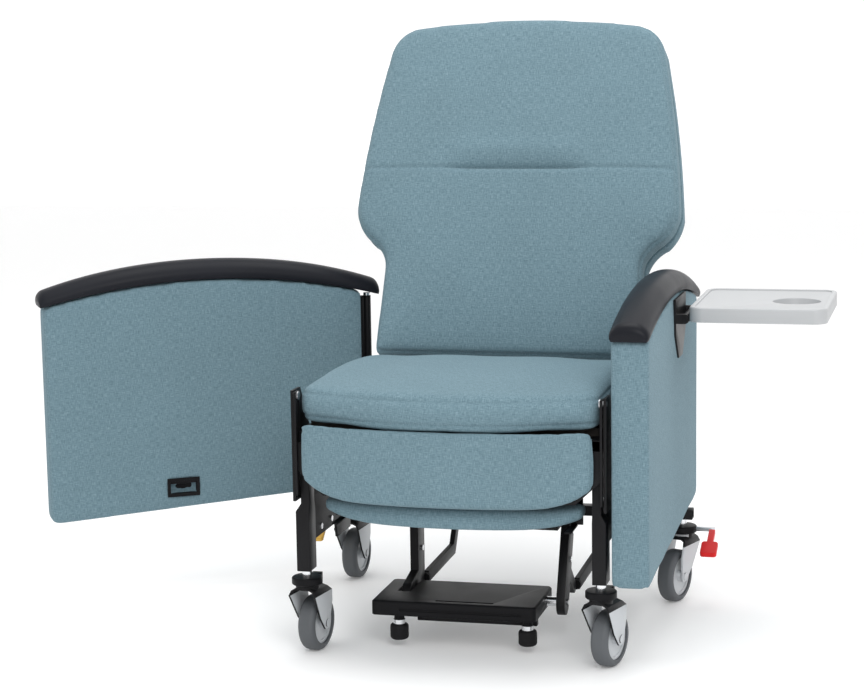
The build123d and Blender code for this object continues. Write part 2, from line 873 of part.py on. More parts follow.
def cap_section(share, height_share, width_share):
    """Roof-like section of the cap, square to the arm's top arc."""
    y, z, angle = arm_arc_point(share)
    half_w = cap_width * width_share / 2
    high = cap_height * height_share
    up = (-math.sin(-angle), math.cos(angle))

    def at(x_share, rise_share):
        rise = high * rise_share + cap_seat_gap
        return (arm_mid_x + half_w * x_share, y + up[0] * rise, z + up[1] * rise)

    edges = [
        Line(at(-1, 0), at(1, 0)),
        Line(at(1, 0), at(1, 0.36)),
        ThreePointArc(at(1, 0.36), at(0.72, 0.74), at(0.26, 0.95)),
        ThreePointArc(at(0.26, 0.95), at(0, 1), at(-0.26, 0.95)),
        ThreePointArc(at(-0.26, 0.95), at(-0.72, 0.74), at(-1, 0.36)),
        Line(at(-1, 0.36), at(-1, 0)),
    ]
    return make_face(edges)


def arm_pieces():
    """Panel, cap, hinge and latch cup of the right arm, closed."""
    panel = extrude(Pos(arm_inner_x, 0, 0) * arm_side_outline(), amount=arm_thickness, dir=(1, 0, 0))
    rim = [e for e in panel.edges()
           if abs(e.center().X - arm_inner_x) < running_gap or abs(e.center().X - arm_outer_x) < running_gap]
    rim = [e for e in rim if e.center().Z < arm_top + running_gap]
    panel = fillet(rim, arm_edge_round)
    half_w, half_h = latch_width / 2, latch_height / 2
    pocket = block((arm_inner_x - overrun, latch_y - half_w, latch_z - half_h),
                   (arm_inner_x + latch_depth, latch_y + half_w, latch_z + half_h))
    panel -= pocket

    bezel = block(
        (arm_inner_x - latch_bezel_proud, latch_y - half_w - latch_bezel, latch_z - half_h - latch_bezel),
        (arm_inner_x, latch_y + half_w + latch_bezel, latch_z + half_h + latch_bezel))
    tub = block((arm_inner_x, latch_y - half_w, latch_z - half_h),
                (arm_inner_x + latch_depth, latch_y + half_w, latch_z + half_h))
    space = block(
        (arm_inner_x - overrun, latch_y - half_w + latch_wall, latch_z - half_h + latch_wall),
        (arm_inner_x + latch_depth - latch_wall, latch_y + half_w - latch_wall,
         latch_z + half_h - latch_wall))
    bar = block(
        (arm_inner_x + latch_bezel_proud, latch_y - half_w, latch_z + latch_bar_low),
        (arm_inner_x + latch_bezel_proud + latch_bar_depth, latch_y + half_w, latch_z + half_h - latch_wall))
    cup = bezel + tub - space + bar

    cap = loft([cap_section(*row) for row in
                zip(cap_station_shares, cap_height_shares, cap_width_shares)])

    low, high = hinge_barrel_bottom, hinge_barrel_top
    leaf_low = low + arm_corner
    leaf = block((hinge_x - hinge_leaf_width / 2, arm_length, leaf_low),
                 (hinge_x + hinge_leaf_width / 2, arm_length + hinge_leaf_thickness, high))
    web = block((hinge_x - hinge_web / 2, arm_length + hinge_leaf_thickness, leaf_low),
                (hinge_x + hinge_web / 2, hinge_y, high))
    barrel = rod((hinge_x, hinge_y, low), (hinge_x, hinge_y, high), hinge_barrel_r)
    bore = rod((hinge_x, hinge_y, low - overrun), (hinge_x, hinge_y, high + overrun),
               hinge_pin_r + running_gap)
    hinge = leaf + web + barrel - bore
    return {"panel": panel, "cap": cap, "hinge": hinge, "latch_cup": cup}


def swing_open(solid):
    """Carry the closed left arm to its open place."""
    hinge = (-hinge_x, hinge_y, 0)
    return Pos(*hinge) * Rot(0, 0, -arm_open_angle) * Pos(hinge_x, -hinge_y, 0) * solid


def make_arms():
    for name, solid in arm_pieces().items():
        keep("right_arm_" + name, solid)
        keep("left_arm_" + name, swing_open(other_side(solid)))


def make_arm_hinge_pins():
    base = leg_bottom + lower_rail_height
    flange_top = base + hinge_flange_height
    collar_low = hinge_barrel_top + hinge_lift_gap
    collar_high = collar_low + hinge_collar_height
    pin = rod((hinge_x, hinge_y, base), (hinge_x, hinge_y, collar_high), hinge_pin_r)
    flange = rod((hinge_x, hinge_y, base), (hinge_x, hinge_y, flange_top), hinge_flange_r)
    washer = rod((hinge_x, hinge_y, flange_top), (hinge_x, hinge_y, hinge_barrel_bottom - hinge_lift_gap),
                 hinge_barrel_r)
    collar = rod((hinge_x, hinge_y, collar_low), (hinge_x, hinge_y, collar_high), hinge_collar_r)
    keep("arm_hinge_pins", *both_sides(pin + flange + washer + collar))


def make_strike_studs():
    gusset_outer = rail_x()[0] + 2 * gusset_thickness
    base_end = arm_inner_x - latch_bezel_proud - overrun
    stud = rod((gusset_outer, latch_y, latch_z), (base_end, latch_y, latch_z), stud_base)
    stud += rod((base_end, latch_y, latch_z), (arm_inner_x + stud_reach, latch_y, latch_z), stud_r)
    keep("arm_strike_studs", *both_sides(stud))


def make_table_bracket():
    outer = arm_outer_x + bracket_thickness
    middle = (bracket_front + bracket_rear) / 2
    plate = plate_across(
        [(bracket_front, bracket_top), (bracket_front, bracket_shoulder),
         (middle - bracket_tail_half, bracket_tail), (middle + bracket_tail_half, bracket_tail),
         (bracket_rear, bracket_shoulder), (bracket_rear, bracket_top)], arm_outer_x, outer)
    ear_low = table_pivot_z - bracket_ear_height / 2
    ear_high = table_pivot_z + bracket_ear_height / 2
    for start in (bracket_front, bracket_rear - bracket_ear):
        plate += block((outer - running_gap, start, ear_low), (table_pivot_x, start + bracket_ear, ear_high))
        plate += rod((table_pivot_x, start, table_pivot_z), (table_pivot_x, start + bracket_ear, table_pivot_z),
                     half(bracket_ear_height))
    pin_hole = rod((table_pivot_x, bracket_front - overrun, table_pivot_z),
                   (table_pivot_x, bracket_rear + overrun, table_pivot_z), table_pin_r)
    keep("table_bracket", plate - pin_hole)
    pin = rod((table_pivot_x, bracket_front, table_pivot_z),
              (table_pivot_x, bracket_rear, table_pivot_z), table_pin_r)
    keep("table_bracket", pin)


def make_table():
    top = table_top
    bottom = top - table_thickness
    slab = block((table_inner, table_front, bottom), (table_outer, table_rear, top))
    slab = fillet(slab.edges().filter_by(Axis.Z), table_corner)
    slab = chamfer(slab.faces().sort_by(Axis.Z)[-1].edges(), table_rim_drop / 2)
    tray = block((table_inner + table_rim, table_front + table_rim, top - table_rim_drop),
                 (table_outer - table_rim, table_rear - table_rim, top + overrun))
    tray = fillet(tray.edges().filter_by(Axis.Z), table_corner - table_rim)
    recess = rod((cup_x, cup_y, top - cup_depth), (cup_x, cup_y, top + overrun), cup_r)
    keep("side_table_tray", slab - tray - recess)

    first = bracket_front + bracket_ear + hinge_lift_gap
    last = bracket_rear - bracket_ear - hinge_lift_gap
    barrel = rod((table_pivot_x, first, table_pivot_z), (table_pivot_x, last, table_pivot_z),
                 table_barrel_r)
    leaf = block((table_pivot_x, first, bottom - table_leaf_thickness), (table_leaf_reach, last, bottom))
    bore = rod((table_pivot_x, first - overrun, table_pivot_z),
               (table_pivot_x, last + overrun, table_pivot_z), table_pin_r + running_gap)
    keep("side_table_leaf", barrel + leaf - bore)


def link_x(side):
    """Inner and outer X of one footplate lever."""
    middle = linkage_offset + side * linkage_half
    return middle - arm_link_thickness / 2, middle + arm_link_thickness / 2


def deck_z():
    """Underside and top of the leg rest's deck board."""
    top = apron_bottom - 2 * soft_gap
    return top - lift_deck_thickness, top


def make_leg_rest():
    pad = cushion(
        pad_half_width, pad_front, pad_bow, pad_back - 4 * soft_gap, pad_bottom, pad_top, pad_top_rear,
        pad_corner, seat_crown / 4, pad_corner / 4, lift=(pad_top - pad_bottom) / 3)
    keep("leg_rest_pad", pad)
    apron = cushion(
        apron_half_width, apron_front, apron_bow, apron_back - 3 * soft_gap, apron_bottom, apron_top, apron_top,
        apron_corner, seat_crown / 3, apron_corner / 4, lift=(apron_top - apron_bottom) / 2)
    keep("leg_rest_apron", apron)

    low, top = deck_z()
    lever = plate_across(
        [(lever_front, carrier_top), (lever_front, lift_pivot_z - lever_front),
         (lever_front, lift_pivot_z + lift_knob_r), (lever_rear, lift_pivot_z + lift_knob_r),
         (lever_rear, carrier_top), (pad_back + carrier_thickness, lever_bottom),
         (lever_front, lever_bottom)], lever_inner, lever_inner + lever_thickness)
    lever -= rod((lever_inner - overrun, lift_pivot_y, lift_pivot_z),
                 (lever_inner + lever_thickness + overrun, lift_pivot_y, lift_pivot_z),
                 lift_bolt_r + running_gap)
    sheet_back = pad_back + carrier_thickness
    sheet = plate_facing(
        [(-carrier_web_half, lever_bottom), (carrier_web_half, lever_bottom), (lever_inner, lever_corner_z),
         (lever_inner, carrier_top), (-lever_inner, carrier_top), (-lever_inner, lever_corner_z)],
        pad_back, sheet_back)
    web_back = apron_back + soft_gap + carrier_thickness
    flange = block((-carrier_web_half, pad_back, lever_bottom),
                   (carrier_web_half, web_back, lever_bottom + carrier_thickness))
    web = block((-carrier_web_half, web_back - carrier_thickness, top),
                (carrier_web_half, web_back, lever_bottom + carrier_thickness))
    keep("leg_rest_carrier", lever + other_side(lever) + sheet + flange + web)

    deck = block((linkage_offset - lift_deck_half, lift_deck_front, low),
                 (linkage_offset + lift_deck_half, lift_deck_rear, top))
    keep("leg_rest_deck", deck)
    make_footplate_levers(low)
    make_clips(low, top)


def make_footplate_levers(deck_low):
    """Left lever drops straight and kneels forward; the right one runs straight and has a stop lug."""
    pivot = (fold_pivot_y, fold_pivot_z)
    knee = (arm_link_top_y, knee_z)
    top = (arm_link_top_y, deck_low)
    left_x = link_x(-1)
    left = link(top, knee, arm_link_half, *left_x) + link(knee, pivot, arm_link_half, *left_x)
    right_x = link_x(1)
    lug_share = 0.35
    lug_start = (fold_pivot_y + (arm_link_top_y - fold_pivot_y) * lug_share,
                 fold_pivot_z + (deck_low - fold_pivot_z) * lug_share)
    right = link(top, pivot, arm_link_half, *right_x)
    lug_z = stop_bar_front_z + half(stop_bar_height)
    right += link(lug_start, (arm_link_top_y + arm_link_half - lug_half, lug_z), lug_half, *right_x)
    above = block((-lift_deck_rear, 0, deck_low), (lift_deck_rear, lift_deck_rear * 2, deck_low * 2))
    for solid, (x0, x1) in ((left, left_x), (right, right_x)):
        hole = rod((x0 - overrun, *pivot), (x1 + overrun, *pivot), fold_pin_r + running_gap)
        keep("footplate_levers", solid - above - hole)


def make_clips(low, top):
    """Cover clips at both ends of the apron and screw heads on the levers."""
    for side in (-1, 1):
        x0 = side * clip_x - clip_width / 2
        x1 = x0 + clip_width
        y0 = apron_front + apron_bow * (clip_x / apron_half_width) ** 2 - clip_thickness - overrun
        clip = block((x0, y0, top - clip_thickness), (x1, web_face(), top))
        keep("leg_rest_clips", clip)
    for side in (-1, 1):
        x1 = link_x(side)[1]
        for rise_share in (0.45, 0.75):
            y = fold_pivot_y + (arm_link_top_y - fold_pivot_y) * (rise_share if side > 0 else 1)
            z = fold_pivot_z + (low - fold_pivot_z) * rise_share
            keep("leg_rest_bolts", rod((x1, y, z), (x1 + bolt_head, y, z), bolt_r))


def web_face():
    """Rear face of the leg rest carrier's web."""
    return apron_back + soft_gap + carrier_thickness


def make_stop_bars():
    """Flat bars from the rear cross tube forward to the footplate levers, with a rubber buffer each."""
    tube_front, tube_bottom = cross_tube_front, leg_bottom
    tube_rear = cross_tube_front + cross_tube_depth
    for side in (-1, 1):
        x0 = link_x(side)[1] - stop_bar_thickness / 2
        x1 = x0 + stop_bar_thickness
        bar = plate_across(
            [(stop_bar_front, stop_bar_front_z), (stop_bar_knee_y, stop_bar_knee_z),
             (tube_rear, tube_bottom), (tube_front, tube_bottom),
             (stop_bar_knee_y - stop_bar_height / 2, stop_bar_knee_z + stop_bar_height),
             (stop_bar_front, stop_bar_front_z + stop_bar_height)], x0, x1)
        keep("stop_bars", bar)
        rear_of_lever = arm_link_top_y + arm_link_half
        buffer_face = rod(
            ((x0 + x1) / 2, rear_of_lever + soft_gap, stop_bar_front_z + stop_bar_height / 2),
            ((x0 + x1) / 2, stop_bar_front, stop_bar_front_z + stop_bar_height / 2),
            stop_bar_height / 2 - overrun)
        keep("stop_buffers", buffer_face)


def make_footplate():
    bottom = plate_top - plate_thickness
    x0, x1 = plate_centre - plate_half, plate_centre + plate_half
    slab = block((x0, plate_front, bottom), (x1, plate_rear, plate_top))
    slab = fillet(slab.edges().filter_by(Axis.Z), plate_corner)
    slab = chamfer(slab.faces().sort_by(Axis.Z)[-1].edges(), plate_edge)
    notch_x = link_x(-1)
    slab -= block((notch_x[0] - notch_margin, notch_front, bottom - overrun),
                  (notch_x[1] + notch_margin, plate_rear + overrun, plate_top + overrun))
    groove_z = bottom + plate_thickness / 3
    slab -= block((x0 + plate_thickness * 2, plate_front - overrun, groove_z),
                  (x1 - plate_thickness, plate_front + groove_depth, groove_z + groove_height))
    slab -= block((plate_centre - slot_length / 3, plate_front + slot_width * 2, plate_top - groove_depth),
                  (plate_centre + slot_length * 2 / 3, plate_front + slot_width * 3, plate_top + overrun))
    pin_y, pin_z = fold_pivot_y, fold_pivot_z
    left_start = notch_x[0] - notch_margin * 3
    left_end = notch_x[1] + notch_margin * 3
    right_end = link_x(1)[1] + bolt_head
    right_start = x1 - plate_corner * 2
    left_pin = rod((left_start, pin_y, pin_z), (left_end, pin_y, pin_z), fold_pin_r)
    right_pin = rod((right_start, pin_y, pin_z), (right_end, pin_y, pin_z), fold_pin_r)
    sleeve = rod((x1, pin_y, pin_z), (link_x(1)[0] - soft_gap, pin_y, pin_z), fold_sleeve_r)
    keep("footplate", slab - left_pin - right_pin)
    keep("footplate_pins", left_pin, right_pin + sleeve)

    bar = block((plate_bar_centre - plate_bar_half, plate_bar_y, bottom - plate_bar_height),
                (plate_bar_centre + plate_bar_half, plate_bar_y + plate_bar_depth, bottom))
    keep("footplate_bar", bar)
    neck_low = bottom - foot_neck_height
    collar_low = neck_low - foot_collar_height
    bulb_low = collar_low - foot_bulb_height
    for side in (-1, 1):
        x = foot_centre + side * foot_spread
        keep("footplate_collars", rod((x, foot_y, collar_low), (x, foot_y, neck_low), foot_collar_r))
        keep("footplate", rod((x, foot_y, neck_low), (x, foot_y, bottom), foot_neck_r))
        bulb = rod((x, foot_y, bulb_low), (x, foot_y, collar_low), foot_bulb_r)
        bulb = fillet(bulb.edges().filter_by(GeomType.CIRCLE), foot_bulb_r / 3)
        keep("footplate_feet", bulb)


def fork_profile(inset):
    """Front view of the bent fork plate, as points in X and Z; inset gives its inner side."""
    low = wheel_r - fork_eye_r - overrun
    tip = fork_leg_gap + fork_plate - inset
    shoulder = fork_shoulder_half - inset
    flat = fork_flat_half - inset / 2
    middle_share = 0.66
    bend_z = fork_top - fork_shoulder_drop
    bend = (flat + (shoulder - flat) * middle_share, bend_z + (fork_top - bend_z) * middle_share)
    right = [(tip, low), (shoulder, bend_z), (bend[0], bend[1] - inset / 2), (flat, fork_top - inset)]
    return right + [(-x, z) for x, z in reversed(right)]


def make_fork():
    """Caster fork with its wheel trailing towards +Y and its stem on the Z axis."""
    rear = trail + fork_rear_over
    outer = plate_facing(fork_profile(0), -fork_front, rear)
    inner = plate_facing(fork_profile(fork_plate), -fork_front - overrun, rear + overrun)
    crown_low = fork_top - fork_shoulder_drop
    eye_side, eye_low = fork_eye_r * 0.9, wheel_r - half(fork_eye_r)
    outline = [
        (-fork_front + fork_plate, fork_top), (-fork_front, crown_low), (fork_tip_y, fork_tip_z),
        (trail - eye_side, eye_low), (trail - half(fork_eye_r), wheel_r - eye_side),
        (trail + half(fork_eye_r), wheel_r - eye_side), (trail + eye_side, eye_low), (rear, fork_rear_z),
        (rear - fork_plate, crown_low), (trail - fork_plate, fork_top),
    ]
    side = plate_across(outline, -fork_shoulder_half, fork_shoulder_half)
    fork = (outer - inner) & side
    fork += rod((0, 0, fork_top - fork_plate), (0, 0, race_top), race_r)
    plate_half_x = fork_leg_gap + fork_plate
    axle_half = plate_half_x + axle_head_height
    bore = rod((-axle_half, trail, wheel_r), (axle_half, trail, wheel_r), axle_r)
    head = rod((plate_half_x, trail, wheel_r), (axle_half, trail, wheel_r), axle_head_r)
    axle = bore + head + other_side(head)
    return fork - axle, axle


def make_wheel():
    """Hub and tyre of a caster wheel on an axle along X."""
    half_w, half_h = wheel_width / 2, hub_width / 2
    boss_half = fork_leg_gap - soft_gap * 2
    core = rod((-half_h, trail, wheel_r), (half_h, trail, wheel_r), hub_r)
    dish = ring((half_h - half_h / 4, trail, wheel_r), (half_h + overrun, trail, wheel_r),
                hub_r - hub_boss_r / 2, hub_boss_r)
    core = core - dish - other_side(dish)
    core += rod((-boss_half, trail, wheel_r), (boss_half, trail, wheel_r), hub_boss_r)
    core -= rod((-boss_half - overrun, trail, wheel_r), (boss_half + overrun, trail, wheel_r),
                axle_r + running_gap)
    tyre = rod((-half_w, trail, wheel_r), (half_w, trail, wheel_r), wheel_r)
    tyre = fillet(tyre.edges().filter_by(GeomType.CIRCLE), tyre_round)
    tyre -= rod((-half_w - overrun, trail, wheel_r), (half_w + overrun, trail, wheel_r), hub_r)
    return core, tyre


def make_casters():
    fork, axle = make_fork()
    hub, tyre = make_wheel()
    places = {
        "front_left": (-leg_x, leg_y, turn_front_left),
        "front_right": (leg_x, leg_y, turn_front_right),
        "rear_left": (-rear_caster_x, rear_caster_y, turn_rear_left),
        "rear_right": (rear_caster_x, rear_caster_y, turn_rear_right),
    }
    for name, (x, y, turn) in places.items():
        place = Pos(x, y, 0) * Rot(0, 0, -turn)
        keep("caster_fork_" + name, place * fork, place * axle)
        keep("caster_hub_" + name, place * hub)
        keep("caster_tyre_" + name, place * tyre)
        keep("caster_stems", rod((x, y, head_top), (x, y, leg_bottom), stem_r))
        head = rod((x, y, head_bottom), (x, y, head_top), head_r)
        head = chamfer(head.edges().filter_by(GeomType.CIRCLE), tube_wall)
        if "front" in name:
            head += block((x, y + head_r - overrun * 2, head_bottom + overrun),
                          (x + head_block, y + head_r + head_block / 2, head_top))
        else:
            side = math.copysign(1, x)
            head -= rod((x + side * (head_r - pedal_socket_depth), y, pedal_spindle_z),
                        (x + side * (head_r + overrun), y, pedal_spindle_z),
                        pedal_spindle_r + running_gap)
        keep("caster_heads", head)


def make_pedal(yaw_angle, neck):
    """Spindle with its arm, and pad, of a pedal on the right rear caster head."""
    x_in = rear_caster_x + head_r - pedal_socket_depth + overrun
    x_out = rear_caster_x + pedal_reach
    metal = rod((x_in, rear_caster_y, pedal_spindle_z), (x_out, rear_caster_y, pedal_spindle_z),
                pedal_spindle_r)
    yaw, slope = math.radians(yaw_angle), math.radians(pedal_slope)
    away = Vector(math.sin(yaw) * math.cos(slope), -math.cos(yaw) * math.cos(slope), -math.sin(slope))
    start = Vector(x_out - pedal_spindle_r, rear_caster_y, pedal_spindle_z)
    metal += rod(tuple(start), tuple(start + away * (neck + pedal_tang)), pedal_spindle_r - overrun / 2)
    metal += Pos(*start) * Sphere(pedal_spindle_r)
    slab = block((-pedal_width / 2, -neck - pedal_length, -pedal_thickness / 2),
                 (pedal_width / 2, -neck, pedal_thickness / 2))
    slab = fillet(slab.edges().filter_by(Axis.Z), pedal_round * 1.5)
    slab = chamfer(slab.faces().filter_by(Axis.Z).edges(), pedal_round / 3)
    slab += block((-pedal_sleeve / 2, -neck - overrun * 2, -pedal_thickness / 2),
                  (pedal_sleeve / 2, -pedal_spindle_r - overrun, pedal_thickness / 2))
    pad = Pos(*start) * Rot(0, 0, yaw_angle) * Rot(pedal_slope, 0, 0) * slab
    return metal, pad - metal


def make_pedals():
    metal, pad = make_pedal(pedal_yaw_right, pedal_neck_right)
    keep("pedal_arm_right", metal)
    keep("pedal_pad_right", pad)
    metal, pad = make_pedal(pedal_yaw_left, pedal_neck_left)
    keep("pedal_arm_left", other_side(metal))
    keep("pedal_pad_left", other_side(pad))


def make_frame_bolts():
    """Screw heads that show on the gussets, side plates and rear tubes."""
    inner = rail_x()[0]
    places = [
        (inner + gusset_thickness, leg_y + leg_depth * 1.6, gusset_drop + bolt_r * 3),
        (inner + gusset_thickness, leg_y + leg_depth * 3.2, gusset_drop + bolt_r * 3),
    ]
    for x, y, z in places:
        keep("frame_bolts", *both_sides(rod((x - bolt_head, y, z), (x, y, z), bolt_r)))
    x = side_plate_inner
    y, z = side_plate_front + bolt_r * 3, side_plate_bottom + bolt_r * 5
    keep("frame_bolts", *both_sides(rod((x - bolt_head, y, z), (x, y, z), bolt_r)))


def build():
    make_seat()
    make_front_legs()
    make_frame()
    make_side_plates()
    make_recline_ears()
    make_backrest()
    make_gas_spring()
    make_arms()
    make_arm_hinge_pins()
    make_strike_studs()
    make_table_bracket()
    make_table()
    make_leg_rest()
    make_stop_bars()
    make_footplate()
    make_casters()
    make_pedals()
    make_frame_bolts()


def solids_of(shapes):
    found = []
    for shape in shapes:
        found.extend(shape.solids())
    return found


def base_middle(pieces):
    """Middle of the base of the box round all pieces."""
    boxes = [Compound(children=list(group)).bounding_box() for group in pieces.values()]
    low = [min(getattr(b.min, a) for b in boxes) for a in "XYZ"]
    high = [max(getattr(b.max, a) for b in boxes) for a in "XYZ"]
    return (low[0] + high[0]) / 2, (low[1] + high[1]) / 2, low[2]


build()
pieces = {name: solids_of(shapes) for name, shapes in NODES.items()}
origin = base_middle(pieces)
shift = Pos(-origin[0], -origin[1], -origin[2])
os.makedirs("parts", exist_ok=True)
for name, group in pieces.items():
    export_step(Compound(children=[shift * solid for solid in group]), f"parts/{name}.step")
print(len(pieces), "nodes, origin", [round(v, 3) for v in origin])
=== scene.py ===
import json
import math

import bmesh
import bpy
import numpy as np
from mathutils import Matrix, Vector

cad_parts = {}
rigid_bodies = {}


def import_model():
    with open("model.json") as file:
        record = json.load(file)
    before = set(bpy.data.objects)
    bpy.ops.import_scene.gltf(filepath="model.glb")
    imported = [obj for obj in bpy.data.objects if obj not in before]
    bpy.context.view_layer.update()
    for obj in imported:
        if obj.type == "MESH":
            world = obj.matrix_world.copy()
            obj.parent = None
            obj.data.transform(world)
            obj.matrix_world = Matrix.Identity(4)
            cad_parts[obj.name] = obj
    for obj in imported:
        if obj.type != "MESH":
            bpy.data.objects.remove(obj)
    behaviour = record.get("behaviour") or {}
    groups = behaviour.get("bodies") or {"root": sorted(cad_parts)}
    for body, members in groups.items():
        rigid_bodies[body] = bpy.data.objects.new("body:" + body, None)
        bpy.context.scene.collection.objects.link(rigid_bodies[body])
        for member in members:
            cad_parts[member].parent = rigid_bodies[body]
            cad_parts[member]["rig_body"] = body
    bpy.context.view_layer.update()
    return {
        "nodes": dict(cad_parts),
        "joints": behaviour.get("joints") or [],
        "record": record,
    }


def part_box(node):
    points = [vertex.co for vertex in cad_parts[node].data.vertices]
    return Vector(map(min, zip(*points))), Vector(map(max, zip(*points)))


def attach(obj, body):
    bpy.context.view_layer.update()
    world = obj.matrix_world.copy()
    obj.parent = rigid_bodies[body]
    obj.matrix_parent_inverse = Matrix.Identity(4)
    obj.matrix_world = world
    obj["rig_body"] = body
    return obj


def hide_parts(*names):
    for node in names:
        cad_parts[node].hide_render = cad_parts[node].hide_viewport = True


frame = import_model()

# Lengths are metres and angles degrees. The chair's own centre plane and the front of its closed arm
# are read from the frame, so places below are given from them.
seat_low, seat_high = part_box("seat_cushion")
arm_low, arm_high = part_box("right_arm_panel")
mid_x = (seat_low.x + seat_high.x) / 2
front_y = arm_low.y
joint = {j["name"]: j for j in frame["joints"]}


def chair(x, y, z):
    """Point from the chair's centre plane, the front of its closed arm and the floor."""
    return Vector((mid_x + x, front_y + y, z))


# Camera, fitted to the photograph
CAMERA_AZIMUTH = 14.29
CAMERA_ELEVATION = 8.56
CAMERA_ROLL = -0.94
CAMERA_TARGET = (-0.08204, 0.250, 0.5313)
CAMERA_DISTANCE = 4.06881
CAMERA_FOCAL_PIXELS = 2195.46
PICTURE_WIDTH = 864
SENSOR_WIDTH = 36.0


def make_camera():
    data = bpy.data.cameras.new("camera")
    data.sensor_width = SENSOR_WIDTH
    data.lens = SENSOR_WIDTH * CAMERA_FOCAL_PIXELS / PICTURE_WIDTH
    data.clip_end = 50
    camera = bpy.data.objects.new("camera", data)
    bpy.context.scene.collection.objects.link(camera)
    a, e, roll = (math.radians(v) for v in (CAMERA_AZIMUTH, CAMERA_ELEVATION, CAMERA_ROLL))
    back = Vector((math.sin(a) * math.cos(e), -math.cos(a) * math.cos(e), math.sin(e)))
    right = Vector((math.cos(a), math.sin(a), 0))
    up = back.cross(right)
    turned_right = right * math.cos(roll) + up * math.sin(roll)
    turned_up = up * math.cos(roll) - right * math.sin(roll)
    turn = Matrix((turned_right, turned_up, back)).transposed().to_4x4()
    place = chair(*CAMERA_TARGET) + back * CAMERA_DISTANCE
    camera.matrix_world = Matrix.Translation(place) @ turn
    bpy.context.scene.camera = camera


def make_light(name, place, aim, size, power):
    data = bpy.data.lights.new(name, "AREA")
    data.shape = "RECTANGLE"
    data.size, data.size_y = size
    data.energy = power
    light = bpy.data.objects.new(name, data)
    bpy.context.scene.collection.objects.link(light)
    light.location = chair(*place)
    light.rotation_mode = "QUATERNION"
    light.rotation_quaternion = (chair(*aim) - light.location).to_track_quat("-Z", "Y")


def glow(name, strength):
    """Pale matt surface that is overexposed a little, as a studio cove is."""
    material, nodes, links, shader = blank_material(name)
    shader.inputs["Base Color"].default_value = (0.93, 0.93, 0.93, 1)
    shader.inputs["Roughness"].default_value = 0.55
    shader.inputs["Specular IOR Level"].default_value = 0.25
    shader.inputs["Emission Color"].default_value = (1, 1, 1, 1)
    shader.inputs["Emission Strength"].default_value = strength
    return material


STAGE_REACH = 30.0
COVE_START = 9.0
COVE_RADIUS = 3.0
COVE_STEPS = 12
BACKDROP_HEIGHT = 20.0
FLOOR_GLOW = 0.10
BACKDROP_GLOW = 0.32
SKY_STRENGTH = 0.80


def make_stage():
    """Pale floor that runs up into a pale backdrop, soft lights and a white sky."""
    rows = [(-STAGE_REACH, 0.0), (COVE_START, 0.0)]
    for i in range(1, COVE_STEPS + 1):
        a = math.pi / 2 * i / COVE_STEPS
        rows.append((COVE_START + COVE_RADIUS * math.sin(a), COVE_RADIUS * (1 - math.cos(a))))
    rows.append((COVE_START + COVE_RADIUS, BACKDROP_HEIGHT))
    verts = [(x, y, z) for y, z in rows for x in (-STAGE_REACH, STAGE_REACH)]
    faces = [(2 * i, 2 * i + 1, 2 * i + 3, 2 * i + 2) for i in range(len(rows) - 1)]
    floor = mesh_object("floor", verts, faces)
    floor.data.materials.append(glow("floor", FLOOR_GLOW))
    floor.data.materials.append(glow("backdrop", BACKDROP_GLOW))
    for face in floor.data.polygons[1:]:
        face.material_index = 1
    world = bpy.data.worlds.new("sky")
    world.use_nodes = True
    world.node_tree.nodes["Background"].inputs["Color"].default_value = (1, 1, 1, 1)
    world.node_tree.nodes["Background"].inputs["Strength"].default_value = SKY_STRENGTH
    bpy.context.scene.world = world
    bpy.context.scene.view_settings.view_transform = "Standard"
    make_light("key", (1.5, -3.0, 2.6), (0, 0.2, 0.6), (1.8, 1.8), 55)
    make_light("fill", (-3.0, -2.4, 1.8), (0, 0.2, 0.5), (2.0, 2.0), 8)
    make_light("top", (0.2, 0.4, 3.6), (0, 0.3, 0.4), (2.4, 2.4), 60)


# Mesh helpers

def mesh_object(name, verts, faces):
    mesh = bpy.data.meshes.new(name)
    mesh.from_pydata([tuple(v) for v in verts], [], faces)
    mesh.validate()
    obj = bpy.data.objects.new(name, mesh)
    bpy.context.scene.collection.objects.link(obj)
    mesh.polygons.foreach_set("use_smooth", [True] * len(mesh.polygons))
    return obj


def apply_modifiers(obj):
    """Bake the object's modifiers into its mesh."""
    view = bpy.context.evaluated_depsgraph_get()
    mesh = bpy.data.meshes.new_from_object(obj.evaluated_get(view))
    obj.modifiers.clear()
    old = obj.data
    obj.data = mesh
    bpy.data.meshes.remove(old)
    mesh.polygons.foreach_set("use_smooth", [True] * len(mesh.polygons))
    return obj


def points_of(obj):
    co = np.empty(len(obj.data.vertices) * 3)
    obj.data.vertices.foreach_get("co", co)
    return co.reshape(-1, 3)


def normals_of(obj):
    found = np.empty(len(obj.data.vertices) * 3)
    obj.data.vertices.foreach_get("normal", found)
    return found.reshape(-1, 3)


def set_points(obj, co):
    obj.data.vertices.foreach_set("co", np.asarray(co, float).ravel())
    obj.data.update()


def relax(obj, rounds):
    mod = obj.modifiers.new("relax", "SMOOTH")
    mod.iterations = rounds
    mod.factor = 0.5
    return apply_modifiers(obj)


def subdivide(obj):
    mod = obj.modifiers.new("finer", "SUBSURF")
    mod.levels = 1
    mod.render_levels = 1
    return apply_modifiers(obj)


# Materials

def blank_material(name):
    material = bpy.data.materials.new(name)
    material.use_nodes = True
    nodes, links = material.node_tree.nodes, material.node_tree.links
    return material, nodes, links, nodes["Principled BSDF"]


def node(nodes, kind, **inputs):
    made = nodes.new(kind)
    for key, value in inputs.items():
        made.inputs[key.replace("_", " ")].default_value = value
    return made


def ramp(nodes, stops):
    made = nodes.new("ShaderNodeValToRGB")
    elements = made.color_ramp.elements
    while len(elements) < len(stops):
        elements.new(0.5)
    for element, (place, color) in zip(elements, stops):
        element.position = place
        element.color = (*color, 1)
    return made


